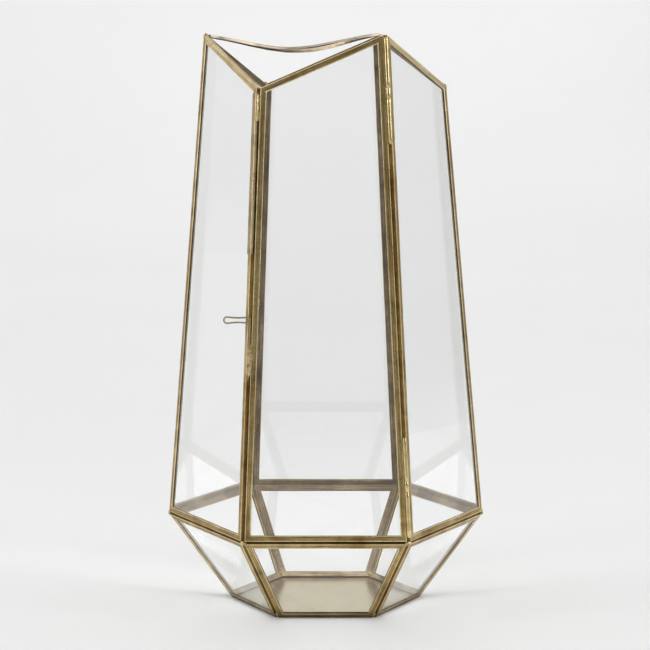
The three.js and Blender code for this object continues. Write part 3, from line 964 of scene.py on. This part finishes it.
def cover_strip():
    section = cover_section()
    low, high = COVER_Z
    count = int((high - low) / COVER_STEP)
    rings = []
    for k in range(count + 1):
        corner = upper_point(FL, low + (high - low) * k / count)
        sway = noise.noise(Vector((k * 0.23, 8.0, 3.0))) * COVER_SWAY
        rings.append([corner + door.along * (across + sway) + door.out * out for across, out in section])
    # These sides take the channel edge's painted highlight.
    highlit_sides = {side: 1 for side in (2, 3, 4, 5, 6, 9, 10)}
    obj = loft("cover_strip", rings, (COVER_BRASS, CHANNEL_EDGE_HIGHLIGHT), highlit_sides, 30)
    place(obj, "vessel", "strip_brass")


def strip_section():
    """A shallow channel, open downwards, with rounded top corners."""
    e, f, w, r = STRIP_WIDTH / 2, STRIP_DEPTH / 2, STRIP_WALL, 0.3
    return [(-e + r, f), (-e + r * 0.3, f - r * 0.3), (-e, f - r), (-e, 0), (-e, -f + 0.1),
            (-e + 0.1, -f), (-e + w - 0.1, -f), (-e + w, -f + 0.1), (-e + w, f - w),
            (-e + w + 1.9, f - w), (e - w, f - w), (e - w, -f + 0.1), (e - w + 0.1, -f), (e - 0.1, -f),
            (e, -f + 0.1), (e, 0), (e, f - r), (e - r * 0.3, f - r * 0.3), (e - r, f), (0, f + 0.04)]


def strip_across():
    """The twisted strip from the left corner to the back right one, with a kink here and there."""
    start, end = rim_point(CORNERS.index("L")), rim_point(CORNERS.index("BR"))
    count = len(STRIP_HEIGHTS) - 1
    guide = []
    for k, z in enumerate(STRIP_HEIGHTS):
        p = start.lerp(end, k / count)
        guide.append(Vector((p.x, p.y, z)))
    path = smooth_path(guide, 9)
    across = Vector((0, 0, 1)).cross(end - start).normalized()
    section = strip_section()
    last = len(path) - 1
    rings = []
    for k in range(1, last):
        t = k / last
        tangent = (path[k + 1] - path[k - 1]).normalized()
        twist = math.radians(-interpolate(STRIP_TWIST_DEG, t))
        x = Matrix.Rotation(twist, 3, tangent) @ across
        y = tangent.cross(x)
        kink = noise.noise(Vector((t * 14, 2.0, 7.0))) * 0.12
        rings.append([path[k] + x * a + y * (b + kink) for a, b in section])
    inside = {7: 2, 8: 2, 9: 1}  # painted shade in the corner under the upper leg, then painted light on the slot floor
    obj = loft("strip_across", rings, (STRIP_BRASS, STRIP_LIT, STRIP_SHADE), inside, 40)
    place(obj, "vessel", "strip_brass", "top_strip")


cover_strip()
strip_across()

# ------------------------------------------------------------------ studio, in metres
SWEEP_HALF_WIDTH, SWEEP_FRONT, SWEEP_BEND_START, SWEEP_BEND, SWEEP_TOP = 7, -5.0, 2.6, 2.4, 6.0
SWEEP_BEND_STEPS = 16
WING_FRONT, WING_BACK, WING_BEND_STEPS = -2.5, 2.6, 12
WING_START, WING_SLANT, WING_BEND_START, WING_BEND = 0.48, 0.11, 2.08, 0.72
WING_SUNK = 0.002  # the wing starts this far under the floor and rises this far above it


def sweep_sheet(name, rows, paper):
    """A sheet through rows of two points, as a stage piece."""
    faces = [(k, k + 1, k + 3, k + 2) for k in range(0, 2 * len(rows) - 2, 2)]
    sheet = mesh_object(name, [point for row in rows for point in row], faces)
    sheet.data.materials.append(paper)


def make_sweep():
    """A pale floor that curves up into a backdrop."""
    profile = [(SWEEP_FRONT, 0), (SWEEP_BEND_START, 0)]
    for step in range(1, SWEEP_BEND_STEPS + 1):
        angle = -math.pi / 2 + step * math.pi / (2 * SWEEP_BEND_STEPS)
        profile.append((SWEEP_BEND_START + SWEEP_BEND * math.cos(angle), SWEEP_BEND * (1 + math.sin(angle))))
    profile.append((SWEEP_BEND_START + SWEEP_BEND, SWEEP_TOP))
    rows = [[Vector((x, y, z)) for x in (-SWEEP_HALF_WIDTH, SWEEP_HALF_WIDTH)] for y, z in profile]
    sweep_sheet("studio_sweep", rows, PALE_PAPER)


def make_wing(name, side, paper):
    """A sheet beside the object that curves up, for its side panes to mirror."""
    rows = [[Vector((side * (WING_START + WING_SLANT * y), y, -WING_SUNK)) for y in (WING_FRONT, WING_BACK)]]
    for step in range(WING_BEND_STEPS + 1):
        angle = step * math.pi / (2 * WING_BEND_STEPS)
        x = side * (WING_BEND_START + WING_BEND * math.sin(angle))
        z = WING_SUNK + WING_BEND * (1 - math.cos(angle))
        rows.append([Vector((x, y, z)) for y in (WING_FRONT, WING_BACK)])
    sweep_sheet(name, rows, paper)


make_camera()
make_sweep()
make_wing("studio_wing_left", -1, PALE_PAPER)
# The right wing carries the painted shade.
make_wing("studio_wing_right", 1, SHADED_PAPER)
for light_name, light_facts in LIGHTS.items():
    make_light(light_name, *light_facts)
make_air()
bpy.context.scene.view_settings.view_transform = "Standard"
